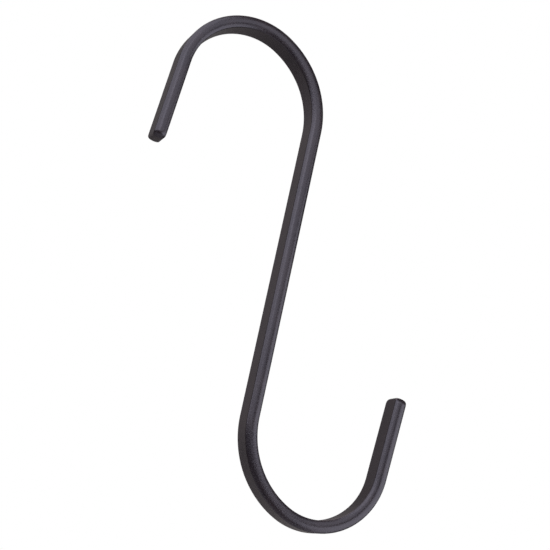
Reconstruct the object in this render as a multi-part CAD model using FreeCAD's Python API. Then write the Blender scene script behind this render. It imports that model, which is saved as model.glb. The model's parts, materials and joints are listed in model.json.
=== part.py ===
"""S-hook bent from one flat steel bar with crowned narrow sides, and coated black all over.

Millimetres. +Z points up along the shank and Y runs through the depth of the bar, so the hook lies in the
XZ plane. The origin is on the axis of the upper seat, where the centre of a hanging rail sits. The upper
hook opens towards -X and the lower hook towards +X.
"""
import FreeCAD
import Part

import math
import os

Vector = FreeCAD.Vector

# The bar
bar_thickness = 4.0        # across the flat sides, in the plane of the hook
bar_depth = 8.0            # from crown to crown, along Y
crown_rise = 0.6           # how far each narrow side bulges past its corners
corner_radius = 0.35       # softened corner between a flat side and a crown

# The bends, measured to the middle of the bar
shank_length = 99.0        # straight run between the two hooks
wide_bend_radius = 30.0    # first part of each bend, beside the shank
wide_bend_angle = 65.5     # degrees
seat_angle = 110.0         # degrees, the part of each bend that holds a rail
upper_seat_radius = 23.0
lower_seat_radius = 22.0
upper_leg_length = 28.6    # straight run from the seat to the tip
lower_leg_length = 28.1

# The tips
tip_side_radius = 1.2      # softened edge where the end of a leg meets a flat side
tip_crown_radius = 2.0     # softened edge where it meets a crown
tip_blend = 0.03           # how far outside the bar's own surface that rounding starts

# The coating
coating_thickness = 0.12   # baked powder coat, the same all over

half_thickness = bar_thickness / 2
half_depth = bar_depth / 2
crown_radius = (half_thickness**2 + crown_rise**2) / (2 * crown_rise)
crown_centre_y = half_depth - crown_radius
corner_centre_x = half_thickness - corner_radius
corner_centre_y = crown_centre_y + math.sqrt((crown_radius - corner_radius) ** 2 - corner_centre_x**2)


def arc_about(centre, radius, start_angle, end_angle):
    """An arc in the XY plane from one angle to another, in radians."""
    angles = (start_angle, (start_angle + end_angle) / 2, end_angle)
    points = [centre + Vector(math.cos(a), math.sin(a), 0) * radius for a in angles]
    return Part.Arc(*points).toShape()


def section(growth):
    """The bar's section in the XY plane, grown outwards by the given amount."""
    corner_turn = math.atan2(corner_centre_y - crown_centre_y, corner_centre_x)
    corner = Vector(corner_centre_x, corner_centre_y, 0)
    crown = Vector(0, crown_centre_y, 0)
    side_x = half_thickness + growth
    low = Vector(side_x, -corner_centre_y, 0)
    high = Vector(side_x, corner_centre_y, 0)
    half = [
        Part.LineSegment(low, high).toShape(),
        arc_about(corner, corner_radius + growth, 0, corner_turn),
        arc_about(crown, crown_radius + growth, corner_turn, math.pi - corner_turn),
        arc_about(Vector(-corner.x, corner.y, 0), corner_radius + growth, math.pi - corner_turn, math.pi),
    ]
    other_half = [edge.rotated(Vector(), Vector(0, 0, 1), 180) for edge in half]
    return Part.Face(Part.Wire(half + other_half))


def round_ended(block, radius, length):
    """A block that stands along +Z, with the edges of its far end rounded."""
    end_edges = [edge for edge in block.Edges if edge.BoundBox.ZMin > length / 2]
    return block.makeFillet(radius, end_edges)


def side_block(length, growth):
    """A block along +Z that follows both flat sides and stands clear of both crowns, rounded at its end."""
    side_x = half_thickness + growth + tip_blend
    block = Part.makeBox(2 * side_x, 2 * bar_depth, length + growth, Vector(-side_x, -bar_depth, 0))
    return round_ended(block, tip_side_radius + growth, length)


def crown_block(length, growth):
    """A round block along +Z that follows both crowns at their middle, rounded at its end."""
    block = Part.makeCylinder(half_depth + growth + tip_blend, length + growth)
    return round_ended(block, tip_crown_radius + growth, length)


def leg(length, growth):
    """A straight leg along +Z from the origin, its end softened along the flat sides and both crowns."""
    face = section(growth)
    straight = face.extrude(Vector(0, 0, length + growth))
    softened = straight.common(side_block(length, growth)).common(crown_block(length, growth))
    softest = max(tip_side_radius, tip_crown_radius) + growth
    if straight.Volume - softened.Volume > face.Area * softest:
        raise ValueError("softening the tip has cut into the rest of the leg")
    return softened


def bent(face, radius, angle):
    """The section swept round a bend that turns from +Z towards -X."""
    return face.revolve(Vector(-radius, 0, 0), Vector(0, -1, 0), angle)


def at_bend_end(shape, radius, angle):
    """A shape that starts at the origin along +Z, moved to the far end of a bend."""
    return shape.rotated(Vector(-radius, 0, 0), Vector(0, -1, 0), angle)


def hook(seat_radius, leg_length, growth):
    """One hook from its shank end at the origin: wide bend, seat and leg."""
    wide = bent(section(growth), wide_bend_radius, wide_bend_angle)
    seat = bent(section(growth), seat_radius, seat_angle)
    straight_leg = at_bend_end(leg(leg_length, growth), seat_radius, seat_angle)
    past_wide_bend = [at_bend_end(piece, wide_bend_radius, wide_bend_angle) for piece in (seat, straight_leg)]
    return [wide] + past_wide_bend


def seat_axis(seat_radius):
    """The centre of a seat, from its hook's shank end."""
    turn = math.radians(wide_bend_angle)
    step = wide_bend_radius - seat_radius
    return Vector(step * math.cos(turn) - wide_bend_radius, 0, step * math.sin(turn))


def whole_hook(growth):
    """The S-hook as one solid, with its surface grown outwards by the given amount."""
    shank = section(growth).extrude(Vector(0, 0, -shank_length))
    upper = hook(upper_seat_radius, upper_leg_length, growth)
    lower = [
        piece.rotated(Vector(), Vector(0, 1, 0), 180).translated(Vector(0, 0, -shank_length))
        for piece in hook(lower_seat_radius, lower_leg_length, growth)
    ]
    joined = shank.multiFuse(upper + lower).removeSplitter()
    return joined.translated(-seat_axis(upper_seat_radius)).Solids[0]


def write(name, shape):
    """Check one sub-part and write it to its STEP file."""
    if not shape.isValid() or len(shape.Solids) != 1:
        raise ValueError(name + " is not one valid solid")
    shape.exportStep(os.path.join("parts", name + ".step"))
    print(name, "volume", round(shape.Volume, 2), "mm3, box", shape.optimalBoundingBox(True, False))


os.makedirs("parts", exist_ok=True)
steel_bar = whole_hook(0)
black_coating = whole_hook(coating_thickness).cut(steel_bar)
write("steel_bar", steel_bar)
write("black_coating", black_coating)
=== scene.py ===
"""A black-coated S-hook of flat steel bar, dressed for a studio picture.

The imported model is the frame: the pieces made here stand where it says, and a check stops the script if
their sizes part from it. Metres, Z up, with the origin on the axis of the upper seat.
"""
import json
import math

import bpy
from bpy.props import FloatProperty, FloatVectorProperty, PointerProperty
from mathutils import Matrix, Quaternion, Vector, noise


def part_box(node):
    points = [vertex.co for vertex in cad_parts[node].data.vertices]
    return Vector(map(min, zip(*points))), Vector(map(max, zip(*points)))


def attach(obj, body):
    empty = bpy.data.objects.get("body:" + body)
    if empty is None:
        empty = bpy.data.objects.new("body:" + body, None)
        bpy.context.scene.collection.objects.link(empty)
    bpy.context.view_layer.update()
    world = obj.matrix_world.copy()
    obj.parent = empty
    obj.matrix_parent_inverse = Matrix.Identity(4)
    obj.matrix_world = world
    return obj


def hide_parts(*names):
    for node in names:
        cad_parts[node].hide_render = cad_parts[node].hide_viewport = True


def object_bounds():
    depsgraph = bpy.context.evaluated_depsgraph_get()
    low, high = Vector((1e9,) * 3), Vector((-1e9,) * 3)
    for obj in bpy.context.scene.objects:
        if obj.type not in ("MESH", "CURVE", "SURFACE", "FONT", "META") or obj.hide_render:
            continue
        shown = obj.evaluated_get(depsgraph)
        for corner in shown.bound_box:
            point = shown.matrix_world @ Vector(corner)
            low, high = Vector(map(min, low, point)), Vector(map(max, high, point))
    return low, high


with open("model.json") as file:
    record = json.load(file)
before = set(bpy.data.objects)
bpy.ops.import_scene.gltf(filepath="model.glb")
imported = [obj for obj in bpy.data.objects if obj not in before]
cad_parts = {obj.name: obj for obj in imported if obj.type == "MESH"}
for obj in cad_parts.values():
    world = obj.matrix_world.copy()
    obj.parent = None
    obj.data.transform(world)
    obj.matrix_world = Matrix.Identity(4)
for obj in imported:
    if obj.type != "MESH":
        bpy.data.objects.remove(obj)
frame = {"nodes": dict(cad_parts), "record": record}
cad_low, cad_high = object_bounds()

bl_info = {
    "name": "Coated S-Hook",
    "version": (1, 0, 0),
    "blender": (4, 5, 0),
    "location": "View3D > Sidebar > S-Hook",
    "description": "Builds the coating, steel and studio of a flat-bar S-hook",
    "category": "Object",
}

MM = 0.001

seats = {mount["name"]: mount for mount in frame["record"]["mounts"]}
coating_low, coating_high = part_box("black_coating")
bar_low, bar_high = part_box("steel_bar")


def length(name, description, default, smallest=0.0):
    """A length that a user may change, shown in the scene's own unit."""
    return FloatProperty(
        name=name, description=description, default=default, min=smallest,
        subtype="DISTANCE", unit="LENGTH", precision=5,
    )


def share(name, description, default, largest=1.0):
    """A plain number from nothing to the largest allowed."""
    return FloatProperty(name=name, description=description, default=default, min=0.0, max=largest)


def angle(name, description, degrees):
    """An angle that a user may change."""
    return FloatProperty(
        name=name, description=description, default=math.radians(degrees), subtype="ANGLE", unit="ROTATION",
    )


def colour(name, description, default):
    """A linear colour that a user may change."""
    return FloatVectorProperty(
        name=name, description=description, default=default, size=3, min=0.0, max=1.0, subtype="COLOR",
    )


class HookBarSizes(bpy.types.PropertyGroup):
    """Sizes of the bent bar. A bend is measured to the middle of the bar."""

    thickness: length("Thickness", "Across the two flat sides", 4.0 * MM)
    depth: length("Depth", "From crown to crown", bar_high.y - bar_low.y)
    crown_rise: length("Crown rise", "How far each narrow side bulges past its corners", 0.6 * MM)
    corner_radius: length("Corner radius", "Softened corner between a flat side and a crown", 0.35 * MM)
    coating: length("Coating", "Thickness of the baked coating", bar_low.y - coating_low.y)
    shank: length("Shank", "Straight run between the two hooks", 99.0 * MM)
    wide_radius: length("Wide bend radius", "First part of each bend, beside the shank", 30.0 * MM)
    wide_angle: angle("Wide bend angle", "Turn of the first part of each bend", 65.5)
    seat_angle: angle("Seat angle", "Turn of the part of each bend that holds a rail", 110.0)
    upper_leg: length("Upper leg", "Straight run from the upper seat to its tip", 28.6 * MM)
    lower_leg: length("Lower leg", "Straight run from the lower seat to its tip", 28.1 * MM)
    tip_side: length("Tip side radius", "Softened edge where a leg's end meets a flat side", 1.2 * MM)
    tip_crown: length("Tip crown radius", "Softened edge where a leg's end meets a crown", 2.0 * MM)
    tip_corner: length(
        "Tip corner radius", "Corner between a flat side and a crown at the very end", 1.2 * MM,
    )
    ring_step: length("Ring step", "Distance between two rings of the mesh", 0.7 * MM, 0.1 * MM)
    hollow_depth: length("Hollow depth", "How deep the long shallow hollows of the rolled bar are", 0.02 * MM)
    hollow_length: length("Hollow length", "Distance between two such hollows along the bar", 14.0 * MM, MM)


class HookCoatingLook(bpy.types.PropertyGroup):
    """Finish of the baked black coating."""

    dark: colour("Darker tone", "Coating colour in its darker patches", (0.0105, 0.0072, 0.0100))
    pale: colour("Paler tone", "Coating colour in its paler patches", (0.0200, 0.0128, 0.0148))
    # This tone also goes along the creases, partly as edge wear and partly as a painted highlight
    rubbed: colour("Rubbed tone", "Coating colour where a rail has rubbed it", (0.0300, 0.0270, 0.0290))
    dust: colour("Grain tone", "Coating colour on the tips of its fine grain", (0.0400, 0.0330, 0.0370))
    sheen_tint: colour("Gloss tint", "Faint violet cast of the satin gloss", (0.95, 0.85, 1.0))
    gloss_index: FloatProperty(
        name="Gloss index", description="Refractive index of the satin surface",
        default=1.60, min=1.0, max=2.5,
    )
    roughness: share("Roughness", "Mean roughness of the satin surface", 0.26)
    peel_depth: length(
        "Orange peel depth", "Depth of the fine ripple that the baked coat dries with", 0.020 * MM,
    )
    peel_size: length("Orange peel size", "Width of one ripple", 0.9 * MM, 0.01 * MM)
    grain_size: length("Grain size", "Width of one grain of the fine texture", 0.40 * MM, 0.01 * MM)
    bend_grain: share(
        "Grain in the bends", "How much deeper the grain is where the bar was bent cold", 10.0, 50.0,
    )
    speck_size: length("Speck spacing", "Mean distance between two raised specks", 1.1 * MM, 0.01 * MM)
    streak_size: length(
        "Streak size", "Width of the faint rolling streaks that show through", 0.7 * MM, 0.01 * MM,
    )


class HookSteelLook(bpy.types.PropertyGroup):
    """Finish of the steel under the coating."""

    bright: colour("Bright tone", "Steel colour where it is clean", (0.46, 0.46, 0.47))
    dull: colour("Dull tone", "Steel colour under mill scale", (0.30, 0.29, 0.29))
    roughness: share("Roughness", "Mean roughness of the rolled steel", 0.42)


class HookStudio(bpy.types.PropertyGroup):
    """Lamps, surroundings, floor and camera."""

    key_level: share("Key panel", "Brightness of the large panel up on the left", 1.80, 10.0)
    fill_level: share("Fill panel", "Brightness of the long panel up in front", 1.2, 10.0)
    side_level: share("Side panel", "Brightness of the tilted panel on the right", 1.90, 10.0)
    left_level: share("Left back panel", "Brightness of the tall panel behind on the left", 0.20, 10.0)
    right_level: share("Right back panel", "Brightness of the tall panel behind on the right", 0.09, 10.0)
    low_level: share("Low panel", "Brightness of the panel low behind", 0.12, 10.0)
    top_level: share("Top panel", "Brightness of the panel high up behind", 1.5, 10.0)
    room_level: share("Room", "Level at which the surroundings light the hook", 0.065, 2.0)
    gloss_level: share("Shown room", "Level at which the surroundings show in the hook's gloss", 0.10, 2.0)
    floor_height: length("Floor height", "Height of the studio floor", -0.90, -10.0)
    floor_reach: length("Floor reach", "From the middle of the floor to its edge", 0.85)
    focal_length: FloatProperty(
        name="Focal length", description="Camera lens in millimetres on a 36 mm sensor",
        default=85.3, min=1.0,
    )


# --------------------------------------------------------------------------------------------------
# Shader nodes as expressions

# Places of a Mix node's sockets for colours
MIX_FACTOR, MIX_FIRST, MIX_SECOND, MIX_COLOUR = 0, 6, 7, 2


class Shade:
    """One socket of a node tree. Sums, differences and products of it add Math nodes."""

    def __init__(self, tree, socket=None):
        self.tree = tree
        self.socket = socket

    def _math(self, operation, *values):
        return self.node("ShaderNodeMath", {"operation": operation}, dict(enumerate(values)))

    def node(self, kind, settings, inputs, output=0):
        """Add a node: its settings first, then the values or links of its sockets."""
        made = self.tree.nodes.new(kind)
        for name, value in settings.items():
            setattr(made, name, value)
        for name, value in inputs.items():
            if isinstance(value, Shade):
                self.tree.links.new(value.socket, made.inputs[name])
            else:
                made.inputs[name].default_value = value
        return Shade(self.tree, made.outputs[output] if made.outputs else None)

    def __add__(self, other):
        return self._math("ADD", self, other)

    def __radd__(self, other):
        return self._math("ADD", other, self)

    def __sub__(self, other):
        return self._math("SUBTRACT", self, other)

    def __rsub__(self, other):
        return self._math("SUBTRACT", other, self)

    def __mul__(self, other):
        return self._math("MULTIPLY", self, other)

    def __rmul__(self, other):
        return self._math("MULTIPLY", other, self)


class Finish:
    """A new material with one main shader, and the few patterns that the finishes use."""

    def __init__(self, name):
        self.material = bpy.data.materials.new(name)
        self.material.use_nodes = True
        self.tree = self.material.node_tree
        self.surface = self.tree.nodes["Principled BSDF"]
        self.node = Shade(self.tree).node

    def along_bar(self):
        """Coordinates that follow the bar round its bends: along it, across it and through its depth."""
        return self.node("ShaderNodeAttribute", {"attribute_name": "bar"}, {}, "Vector")

    def noise(self, place, size, detail, rough):
        """Soft noise from 0 to 1 whose blotches are about the given size across."""
        inputs = {"Vector": place, "Scale": 1.0 / size, "Detail": detail, "Roughness": rough}
        return self.node("ShaderNodeTexNoise", {}, inputs)

    def stretched(self, place, factor):
        """The same place with the first coordinate shortened, so that a pattern runs long that way."""
        inputs = {0: place, 1: (factor, 1.0, 1.0)}
        return self.node("ShaderNodeVectorMath", {"operation": "MULTIPLY"}, inputs)

    def between(self, value, low, high):
        """A smooth step from 0 at low to 1 at high."""
        inputs = {"Value": value, "From Min": low, "From Max": high}
        return self.node("ShaderNodeMapRange", {"interpolation_type": "SMOOTHSTEP"}, inputs)

    def attribute(self, name):
        """A number that the mesh carries at each point."""
        return self.node("ShaderNodeAttribute", {"attribute_name": name}, {}, "Fac")

    def mix(self, factor, first, second):
        """A colour part of the way from the first to the second."""
        tones = [tone if isinstance(tone, Shade) else (*tone, 1.0) for tone in (first, second)]
        inputs = {MIX_FACTOR: factor, MIX_FIRST: tones[0], MIX_SECOND: tones[1]}
        return self.node("ShaderNodeMix", {"data_type": "RGBA"}, inputs, MIX_COLOUR)

    def bump(self, height, depth):
        """A normal raised by a height from 0 to 1, to the given depth."""
        inputs = {"Height": height, "Distance": depth, "Strength": 1.0}
        return self.node("ShaderNodeBump", {}, inputs, "Normal")

    def feed(self, **sockets):
        """Link or set the main shader's sockets, named with underscores for spaces."""
        for name, value in sockets.items():
            socket = self.surface.inputs[name.replace("_", " ")]
            if isinstance(value, Shade):
                self.tree.links.new(value.socket, socket)
            else:
                socket.default_value = value
        return self.material


# --------------------------------------------------------------------------------------------------
# The bar's section and path

# Steps of the mesh round each part of the section, and along the rounding of a tip
CROWN_STEPS = 22
CORNER_STEPS = 5
FLAT_STEPS = 6
TIP_STEPS = 18
# Points on one flat side: its steps lie between two more points at its corners
FLAT_POINTS = FLAT_STEPS + 3
# Distance from a flat side's corner to its nearest step, which keeps the shading flat
FLAT_HOLD = 0.12 * MM
# How fast the rubbed wear and the painted crease highlight fade away from a crease
EDGE_FADE = 0.30 * MM
# A bend's grain has its full strength after one part in this many of the bend
BEND_FADE = 4.0
# Share of that grain that a seat loses
SEAT_SMOOTHED = 0.7
# How far from the bar's middle a seat is rubbed, as a share of the bar's depth
SEAT_EDGE = 0.42
# Distance between two hollows across the bar
HOLLOW_WIDTH = 3.0 * MM
# The most that the coating may part from its packed size
SIZE_SLACK = 0.1 * MM


def section(sizes, growth, corner):
    """The bar's section as (across, deep) points, anticlockwise from the low end of a flat side."""
    half = sizes.thickness / 2
    crown_radius = (half**2 + sizes.crown_rise**2) / (2 * sizes.crown_rise)
    crown_middle = sizes.depth / 2 - crown_radius
    middle_x = half + growth - corner
    middle_y = crown_middle + math.sqrt((crown_radius + growth - corner) ** 2 - middle_x**2)
    turn = math.atan2(middle_y - crown_middle, middle_x)
    inner = middle_y - FLAT_HOLD
    deep = [-middle_y] + [inner * (2 * i / FLAT_STEPS - 1) for i in range(FLAT_STEPS + 1)] + [middle_y]
    corner_turns = [turn * i / CORNER_STEPS for i in range(CORNER_STEPS + 1)]
    crown_turns = [turn + (math.pi - 2 * turn) * i / CROWN_STEPS for i in range(1, CROWN_STEPS)]
    softened = [(middle_x + corner * math.cos(a), middle_y + corner * math.sin(a)) for a in corner_turns[1:]]
    reach = crown_radius + growth
    crown = [(reach * math.cos(a), crown_middle + reach * math.sin(a)) for a in crown_turns]
    half_loop = [(half + growth, y) for y in deep] + softened + crown + [(-x, y) for x, y in softened[::-1]]
    return half_loop + [(-x, -y) for x, y in half_loop]


def softened_section(sizes, growth, from_end):
    """The section near a leg's end, drawn in along the flat sides and the crowns."""
    if from_end is None:
        return section(sizes, growth, sizes.corner_radius + growth)

    def inset(radius):
        depth_left = max(radius - from_end, 0.0)
        return radius - math.sqrt(radius**2 - depth_left**2)

    side = inset(sizes.tip_side + growth)
    crown = inset(sizes.tip_crown + growth)
    across = 1 - side / (sizes.thickness / 2 + growth)
    deep = 1 - crown / (sizes.depth / 2 + growth)
    done = crown / (sizes.tip_crown + growth)
    corner = sizes.corner_radius + growth + (sizes.tip_corner - sizes.corner_radius) * math.sqrt(done)
    return [(x * across, y * deep) for x, y in section(sizes, growth, corner)]


class Station:
    """One place along the bar: its middle and the section's first direction, in the plane of the hook."""

    def __init__(self, middle, outward, along, bent=0.0, seat=0.0, from_end=None):
        self.middle = middle
        self.outward = outward
        self.along = along
        self.bent = bent
        self.seat = seat
        self.from_end = from_end

    def point(self, across, deep):
        """A point of the section at this place."""
        spot = self.middle + self.outward * across
        return Vector((spot.x, deep, spot.y))


def direction(turned):
    """A unit vector in the plane of the hook."""
    return Vector((math.cos(turned), math.sin(turned)))


def seat_offset(sizes, seat_radius):
    """The centre of a seat from its hook's shank end, in the plane of the hook."""
    return direction(sizes.wide_angle) * (sizes.wide_radius - seat_radius) - Vector((sizes.wide_radius, 0))


def one_hook(sizes, seat_radius, leg, growth):
    """Stations of one hook from its shank end at the origin, heading up and bending towards -X."""
    found = []
    for centre, radius, start, turn in (
        (Vector((-sizes.wide_radius, 0)), sizes.wide_radius, 0.0, sizes.wide_angle),
        (seat_offset(sizes, seat_radius), seat_radius, sizes.wide_angle, sizes.seat_angle),
    ):
        before = found[-1].along if found else 0.0
        steps = round(radius * turn / sizes.ring_step)
        for i in range(1 if found else 0, steps + 1):
            part = i / steps
            outward = direction(start + turn * part)
            bent = min(1.0, BEND_FADE * part)
            if start:
                bent = min(1.0, BEND_FADE * (1.0 - part)) * (1.0 - SEAT_SMOOTHED * bent)
            pressed = math.sin(math.pi * part) ** 2 if start else 0.0
            along = before + radius * turn * part
            found.append(Station(centre + outward * radius, outward, along, bent, pressed))
    last = found[-1]
    heading = Vector((-last.outward.y, last.outward.x))
    end = leg + growth
    rounding = max(sizes.tip_side, sizes.tip_crown) + growth
    straight = end - rounding
    steps = round(straight / sizes.ring_step)
    runs = [(straight * i / steps, None) for i in range(1, steps)]
    for i in range(TIP_STEPS + 1):
        left = rounding * (1 - math.sin(math.pi / 2 * i / TIP_STEPS))
        runs.append((end - left, left))
    for run, left in runs:
        found.append(Station(last.middle + heading * run, last.outward, last.along + run, from_end=left))
    return found


def whole_path(sizes, growth):
    """Stations from the upper tip to the lower tip, with the origin on the axis of the upper seat."""
    to_middle = sizes.thickness / 2 + sizes.coating
    upper_radius, lower_radius = (
        seats[name]["dims"]["r_mm"] * MM + to_middle for name in ("upper_seat", "lower_seat")
    )
    shank_top = -seat_offset(sizes, upper_radius)
    shank_foot = shank_top - Vector((0, sizes.shank))
    path = one_hook(sizes, upper_radius, sizes.upper_leg, growth)[::-1]
    for station in path:
        station.middle += shank_top
        station.along *= -1
    steps = round(sizes.shank / sizes.ring_step)
    for i in range(1, steps):
        run = sizes.shank * i / steps
        path.append(Station(shank_top - Vector((0, run)), Vector((1, 0)), run))
    for station in one_hook(sizes, lower_radius, sizes.lower_leg, growth):
        station.middle = shank_foot - station.middle
        station.along += sizes.shank
        station.seat *= -1
        path.append(station)
    return path


def cap_faces(base, count):
    """Faces that close the loop of points that starts at the given one."""
    half = count // 2
    right = [base + i for i in range(FLAT_POINTS)]
    left = [base + half + i for i in range(FLAT_POINTS)][::-1]
    caps = [(right[i], right[i + 1], left[i + 1], left[i]) for i in range(FLAT_POINTS - 1)]
    for start in (FLAT_POINTS - 1, half + FLAT_POINTS - 1):
        rim = [base + (start + i) % count for i in range(half - FLAT_POINTS + 2)]
        while len(rim) > 3:
            caps.append((rim[0], rim[1], rim[-2], rim[-1]))
            rim = rim[1:-1]
        if len(rim) == 3:
            caps.append(tuple(rim))
    return caps


class Skin:
    """A closed skin round the bar, with what each of its points carries."""

    def __init__(self, sizes, growth, uneven):
        self.points, self.places = [], []
        self.masks = {"edge": [], "seat": [], "bent": []}
        path = whole_path(sizes, growth)
        crease_x, crease_y = section(sizes, growth, sizes.corner_radius + growth)[0]
        for station in path:
            loop = softened_section(sizes, growth, station.from_end)
            for x, y in loop:
                inwards = uneven * self.hollow(sizes, station.along, x, y) / math.hypot(x, y)
                self.points.append(station.point(x * (1 - inwards), y * (1 - inwards)))
                self.places.append((station.along, x, y))
                away = math.hypot(abs(x) - crease_x, abs(y) + crease_y)
                pressed = -station.seat if x > 0 else station.seat
                self.masks["edge"].append(math.exp(-away / EDGE_FADE))
                self.masks["seat"].append(max(pressed, 0.0) if abs(y) < SEAT_EDGE * sizes.depth else 0.0)
                self.masks["bent"].append(station.bent)
        count = len(loop)
        self.faces = []
        for j in range(len(path) - 1):
            for i in range(count):
                k = (i + 1) % count
                self.faces.append((j * count + i, (j + 1) * count + i, (j + 1) * count + k, j * count + k))
        self.faces += cap_faces(0, count)
        self.faces += [face[::-1] for face in cap_faces((len(path) - 1) * count, count)]

    @staticmethod
    def hollow(sizes, along, across, deep):
        """How far in the rolled surface lies at a place on the bar."""
        spot = Vector((along / sizes.hollow_length, across / HOLLOW_WIDTH, deep / HOLLOW_WIDTH))
        return sizes.hollow_depth * (0.5 + 0.5 * noise.noise(spot))


# --------------------------------------------------------------------------------------------------
# Pieces

# The middle value of a noise
NOISE_MEAN = 0.5

# Coating: widths of its slower patterns, and how far its streaks are drawn out along the bar
MOTTLE_SIZE = 9 * MM
SPECK_PATCH = 2.4 * MM
STREAK_SQUEEZE = 0.14
# How strongly each pattern shows in the colour, the roughness and the height
STREAK_TONE, DUST_TONE, RUBBED_AND_HIGHLIGHT_TONE, SPECK_TONE = 0.5, 0.8, 0.5, 0.35
# Share of the rubbed tone along the creases: partly edge wear, partly a painted highlight on the crease
EDGE_WEAR_AND_HIGHLIGHT = 0.5
MOTTLE_ROUGH, STREAK_ROUGH, GRAIN_ROUGH, RUBBED_SMOOTHER = 0.06, 0.10, 0.10, 0.05
PEEL_RISE, GRAIN_RISE, SPECK_RISE = 0.55, 0.32, 0.30

# Steel: widths of its scale patches and its grain, the grain's depth, and what each does to roughness
SCALE_SIZE = 5 * MM
STEEL_GRAIN_SIZE = 0.4 * MM
STEEL_GRAIN_DEPTH = 0.006 * MM
STEEL_GRAIN_ROUGH, SCALE_SMOOTHER = 0.16, 0.08


def coating_finish(look):
    """Baked black coat: satin, faintly mottled, with orange peel, fine grain and a few specks."""
    finish = Finish("black coating")
    place = finish.along_bar()
    edge = finish.attribute("edge")
    mottle = finish.noise(place, MOTTLE_SIZE, detail=3.0, rough=0.6)
    drawn_out = finish.stretched(place, STREAK_SQUEEZE)
    streaks = finish.noise(drawn_out, look.streak_size, detail=3.0, rough=0.55)
    peel = finish.noise(place, look.peel_size, detail=1.5, rough=0.5)
    grain = finish.noise(place, look.grain_size, detail=2.0, rough=0.6)
    raised = 1.0 + look.bend_grain * finish.attribute("bent")
    inputs = {"Vector": place, "Scale": 1.0 / look.speck_size}
    cells = finish.node("ShaderNodeTexVoronoi", {}, inputs, "Distance")
    patches = finish.noise(place, SPECK_PATCH, detail=1.0, rough=0.5)
    thinned = finish.between(patches, low=0.46, high=0.60)
    specks = (1.0 - finish.between(cells, low=0.06, high=0.17)) * thinned
    scuffs = finish.between(0.5 * streaks + 0.5 * mottle, low=0.50, high=0.66)
    # Rubbed where a rail presses on a seat; along the creases the paler tone is partly edge wear and partly a
    # painted highlight
    rubbed = finish.attribute("seat") * scuffs + edge * scuffs * EDGE_WEAR_AND_HIGHLIGHT
    paleness = finish.between(mottle + STREAK_TONE * streaks, low=0.55, high=0.95)
    tone = finish.mix(paleness, look.dark, look.pale)
    tone = finish.mix(finish.between(grain, low=0.50, high=0.72) * DUST_TONE, tone, look.dust)
    # Paler rubbed tone on the seats, the specks and the creases, where it is partly a painted highlight
    tone = finish.mix(rubbed * RUBBED_AND_HIGHLIGHT_TONE + specks * SPECK_TONE, tone, look.rubbed)
    roughness = look.roughness + MOTTLE_ROUGH * (mottle - NOISE_MEAN)
    roughness = roughness + STREAK_ROUGH * (streaks - NOISE_MEAN)
    roughness = roughness + GRAIN_ROUGH * (grain - NOISE_MEAN)
    height = PEEL_RISE * peel + GRAIN_RISE * grain * raised + SPECK_RISE * specks
    return finish.feed(
        Base_Color=tone,
        Roughness=roughness - RUBBED_SMOOTHER * rubbed,
        IOR=look.gloss_index,
        Specular_Tint=(*look.sheen_tint, 1.0),
        Normal=finish.bump(height, look.peel_depth),
    )


def steel_finish(look):
    """Rolled steel bar: dull mill scale over brighter metal, with a light grain."""
    finish = Finish("rolled steel")
    place = finish.node("ShaderNodeTexCoord", {}, {}, "Object")
    scale = finish.between(finish.noise(place, SCALE_SIZE, detail=4.0, rough=0.6), low=0.40, high=0.62)
    grain = finish.noise(place, STEEL_GRAIN_SIZE, detail=3.0, rough=0.6)
    roughness = look.roughness + STEEL_GRAIN_ROUGH * (grain - NOISE_MEAN) - SCALE_SMOOTHER * scale
    return finish.feed(
        Base_Color=finish.mix(scale, look.dull, look.bright),
        Metallic=1.0,
        Roughness=roughness,
        Normal=finish.bump(grain, STEEL_GRAIN_DEPTH),
    )


class HOOK_OT_coating(bpy.types.Operator):
    """Make the coating: a closed skin round the bar, with its satin finish"""

    bl_idname = "s_hook.coating"
    bl_label = "Make coating"

    def execute(self, context):
        sizes = context.scene.hook_bar
        outside = Skin(sizes, sizes.coating, True)
        inside = Skin(sizes, 0.0, False)
        for axis in range(3):
            reached = [point[axis] for point in outside.points]
            off = max(abs(min(reached) - coating_low[axis]), abs(max(reached) - coating_high[axis]))
            if off > SIZE_SLACK:
                side = "XYZ"[axis]
                raise RuntimeError(f"the coating misses its packed size by {off / MM:.2f} mm along {side}")
        shift = len(outside.points)
        walls = [tuple(shift + i for i in face[::-1]) for face in inside.faces]
        mesh = bpy.data.meshes.new("hook_coating")
        mesh.from_pydata(outside.points + inside.points, [], outside.faces + walls)
        if mesh.validate():
            raise RuntimeError("the coating's mesh has faults")
        places = [value for place in outside.places + inside.places for value in place]
        mesh.attributes.new("bar", "FLOAT_VECTOR", "POINT").data.foreach_set("vector", places)
        for name, mask in outside.masks.items():
            mesh.attributes.new(name, "FLOAT", "POINT").data.foreach_set("value", mask + inside.masks[name])
        mesh.shade_smooth()
        mesh.materials.append(coating_finish(context.scene.hook_coating))
        piece = bpy.data.objects.new("hook_coating", mesh)
        context.scene.collection.objects.link(piece)
        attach(piece, "root")
        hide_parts("black_coating")
        return {"FINISHED"}


class HOOK_OT_steel(bpy.types.Operator):
    """Give the steel bar under the coating its rolled finish"""

    bl_idname = "s_hook.steel"
    bl_label = "Finish steel bar"

    def execute(self, context):
        slots = frame["nodes"]["steel_bar"].data.materials
        slots.clear()
        slots.append(steel_finish(context.scene.hook_steel))
        return {"FINISHED"}


# --------------------------------------------------------------------------------------------------
# Studio

CAMERA_PLACE = (-0.1208, -0.3892, -0.1700)
# Turns about X, Y and Z in degrees: a camera that isn't turned looks straight down
CAMERA_TURN = (105.44, -11.96, -23.83)
# In millimetres, as the focal length is
SENSOR_WIDTH = 36.0
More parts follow.
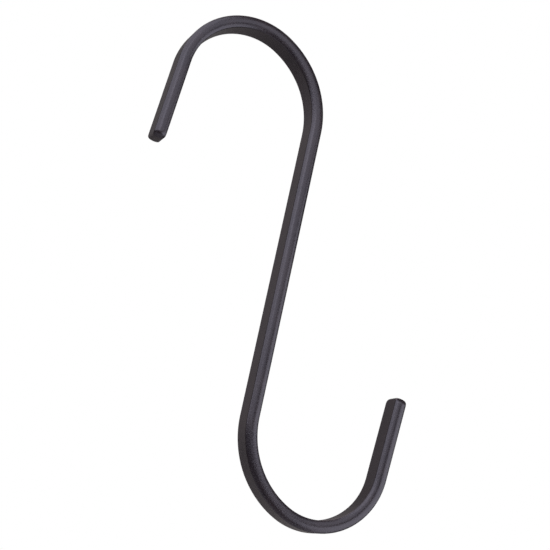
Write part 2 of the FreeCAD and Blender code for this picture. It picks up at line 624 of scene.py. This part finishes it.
# From the hook's middle to each panel
PANEL_DISTANCE = 1.0
COOL, WARM = (0.93, 1.0, 1.05), (1.12, 0.98, 1.0)
WHITE = (1.0, 1.0, 1.0, 1.0)
FLOOR_TONE = (0.80, 0.80, 0.80, 1.0)
FLOOR_ROUGHNESS = 0.9
# Light that the camera sees on the floor beyond what the panels give it
FLOOR_GLOW = 0.5

# Each panel's level, where it stands in degrees (0 is in front, 90 to the right), its height in degrees,
# how far it is tilted, its width and height in metres, and its tint
PANELS = (
    ("key_level", -50, 35, 10, 1.6, 1.3, COOL),
    ("fill_level", 10, 25, 30, 1.0, 0.6, COOL),
    ("side_level", 50, -10, -45, 0.9, 1.1, COOL),
    ("left_level", 210, 15, 0, 0.5, 1.2, WARM),
    ("right_level", 165, 15, 0, 0.7, 1.2, WARM),
    ("low_level", 175, -30, 0, 1.2, 0.6, WARM),
    ("top_level", 195, 65, 0, 0.9, 0.6, WARM),
)


def panel(name, middle, level, azimuth, height_angle, tilt, width, height, tint):
    """A soft panel of light that faces the hook."""
    a, e = math.radians(azimuth), math.radians(height_angle)
    towards = Vector((math.sin(a) * math.cos(e), -math.cos(a) * math.cos(e), math.sin(e)))
    lamp = bpy.data.lights.new(name, "AREA")
    lamp.shape = "RECTANGLE"
    lamp.size, lamp.size_y = width, height
    lamp.energy = level * math.pi * width * height
    lamp.color = tint
    holder = bpy.data.objects.new(name, lamp)
    holder.location = middle + towards * PANEL_DISTANCE
    holder.rotation_mode = "QUATERNION"
    turned = Quaternion((0.0, 0.0, 1.0), math.radians(tilt))
    holder.rotation_quaternion = towards.to_track_quat("Z", "Y") @ turned
    holder.visible_camera = False
    bpy.context.scene.collection.objects.link(holder)


class HOOK_OT_studio(bpy.types.Operator):
    """Set up the pale floor, the soft light and the camera"""

    bl_idname = "s_hook.studio"
    bl_label = "Set up studio"

    def execute(self, context):
        studio = context.scene.hook_studio
        self.surroundings(context, studio)
        self.floor(context, studio)
        middle = (cad_low + cad_high) / 2
        for name, *placed in PANELS:
            panel(name.replace("_level", " panel"), middle, getattr(studio, name), *placed)
        camera = bpy.data.cameras.new("camera")
        camera.lens = studio.focal_length
        camera.sensor_width = SENSOR_WIDTH
        holder = bpy.data.objects.new("camera", camera)
        holder.location = CAMERA_PLACE
        holder.rotation_euler = [math.radians(turn) for turn in CAMERA_TURN]
        context.scene.collection.objects.link(holder)
        context.scene.camera = holder
        context.scene.view_settings.view_transform = "Standard"
        return {"FINISHED"}

    def surroundings(self, context, studio):
        """A room that is white to look at and lights the hook at its own plain level."""
        world = bpy.data.worlds.new("studio")
        world.use_nodes = True
        world.node_tree.nodes.clear()
        start = Shade(world.node_tree)
        looked_at, looked_through, mirrored = (
            start.node("ShaderNodeLightPath", {}, {}, f"Is {kind} Ray")
            for kind in ("Camera", "Transmission", "Glossy")
        )
        room = studio.room_level
        strength = room + (looked_at + looked_through) * (1.0 - room) + mirrored * (studio.gloss_level - room)
        light = start.node("ShaderNodeBackground", {}, {"Strength": strength, "Color": WHITE})
        start.node("ShaderNodeOutputWorld", {}, {"Surface": light})
        context.scene.world = world

    def floor(self, context, studio):
        """A pale floor that keeps the hook's shadow."""
        reach, height = studio.floor_reach, studio.floor_height
        mesh = bpy.data.meshes.new("floor")
        corners = [(reach * x, reach * y, height) for x, y in ((-1, -1), (1, -1), (1, 1), (-1, 1))]
        mesh.from_pydata(corners, [], [(0, 1, 2, 3)])
        floor = bpy.data.objects.new("floor", mesh)
        context.scene.collection.objects.link(floor)
        finish = Finish("pale floor")
        looked_at = finish.node("ShaderNodeLightPath", {}, {}, "Is Camera Ray")
        finish.feed(
            Base_Color=FLOOR_TONE,
            Roughness=FLOOR_ROUGHNESS,
            Emission_Color=WHITE,
            Emission_Strength=looked_at * FLOOR_GLOW,
        )
        mesh.materials.append(finish.material)


class HOOK_PT_panel(bpy.types.Panel):
    """The S-hook's sizes, finishes and steps"""

    bl_idname = "HOOK_PT_panel"
    bl_label = "S-Hook"
    bl_space_type = "VIEW_3D"
    bl_region_type = "UI"
    bl_category = "S-Hook"

    def draw(self, context):
        for operator in OPERATORS:
            self.layout.operator(operator.bl_idname)
        for name, group in GROUPS.items():
            box = self.layout.box()
            for field in group.__annotations__:
                box.prop(getattr(context.scene, name), field)


GROUPS = {
    "hook_bar": HookBarSizes,
    "hook_coating": HookCoatingLook,
    "hook_steel": HookSteelLook,
    "hook_studio": HookStudio,
}
OPERATORS = (HOOK_OT_coating, HOOK_OT_steel, HOOK_OT_studio)


def register():
    for group in GROUPS.values():
        bpy.utils.register_class(group)
    for made in OPERATORS + (HOOK_PT_panel,):
        bpy.utils.register_class(made)
    for name, group in GROUPS.items():
        setattr(bpy.types.Scene, name, PointerProperty(type=group))


def unregister():
    for name in GROUPS:
        delattr(bpy.types.Scene, name)
    for made in (HOOK_PT_panel,) + OPERATORS[::-1]:
        bpy.utils.unregister_class(made)
    for group in reversed(GROUPS.values()):
        bpy.utils.unregister_class(group)


def main():
    """Register everything and make each piece in turn."""
    register()
    bpy.ops.s_hook.coating()
    bpy.ops.s_hook.steel()
    bpy.ops.s_hook.studio()


if __name__ == "__main__":
    main()
